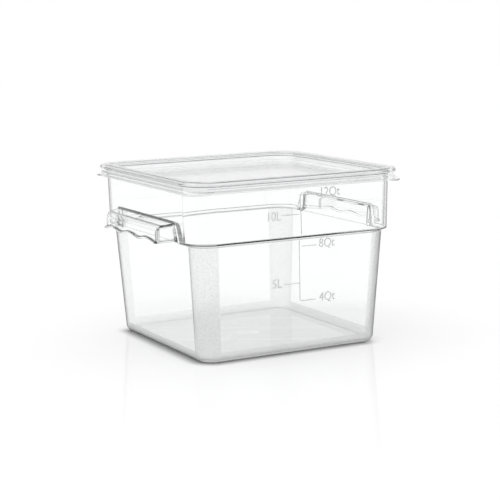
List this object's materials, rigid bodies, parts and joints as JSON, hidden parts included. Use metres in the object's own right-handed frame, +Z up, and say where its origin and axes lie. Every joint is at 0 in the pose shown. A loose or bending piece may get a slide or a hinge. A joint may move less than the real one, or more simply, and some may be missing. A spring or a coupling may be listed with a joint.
{
  "type": "food storage container",
  "caption": "Clear square food storage container with moulded side grips and a translucent lid that is pressed over the rim and lifts off.",
  "frame": {"origin": "centre of the tub's base, on the surface that it stands on", "axes": "+Z up; the grips are on the -X and +X sides; the measuring scale is on the -Y side"},
  "size_m": [0.3102, 0.2856, 0.21],
  "materials": {
    "clear_polycarbonate": "clear gloss, fine frosting on the corners and base",
    "milky_polyethylene": "translucent satin"
  },
  "bodies": {
    "container_body": {"container_body": "clear_polycarbonate"},
    "lid": {"lid": "milky_polyethylene"}
  },
  "joints": [
    {"name": "lid_lift", "type": "slide", "parent": "container_body", "child": "lid", "axis": [0, 0, 1], "range_m": [0, 0.3]}
  ]
}
